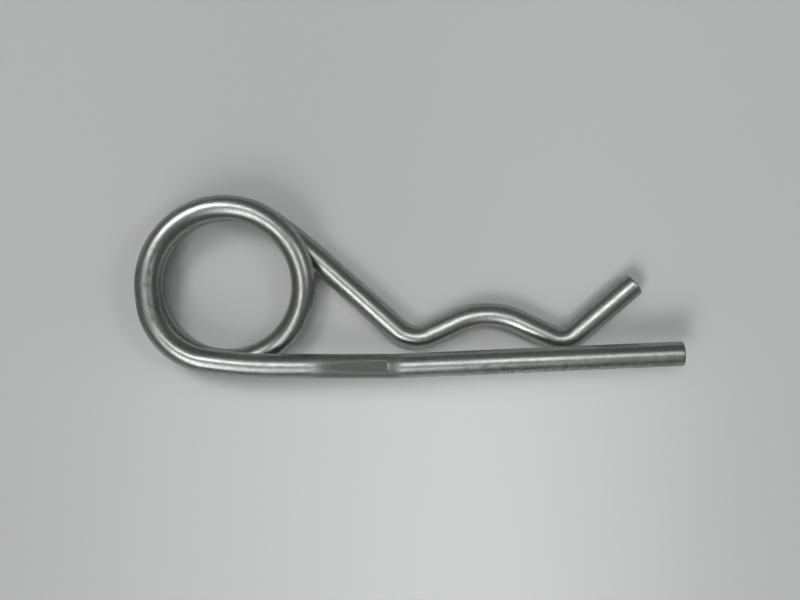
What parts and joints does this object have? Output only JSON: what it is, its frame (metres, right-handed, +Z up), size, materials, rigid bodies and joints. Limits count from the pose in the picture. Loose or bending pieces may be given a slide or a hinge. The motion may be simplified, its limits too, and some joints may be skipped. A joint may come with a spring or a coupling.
{
  "type": "hitch r clip pin",
  "caption": "Spring wire clip with a round coil, a straight leg for a pin's cross hole, and a wavy leg that grips round the pin.",
  "frame": {"origin": "on the coil's axis, on the plane that the clip lies on", "axes": "+X along the straight leg towards its free end, +Y from the straight leg towards the wavy leg, +Z up along the coil's axis"},
  "size_m": [0.0886, 0.0297, 0.0084],
  "materials": {
    "zinc_plated_wire": "bright zinc plating over smooth drawn spring wire"
  },
  "bodies": {
    "root": {"clip_wire": "zinc_plated_wire"}
  },
  "joints": []
}
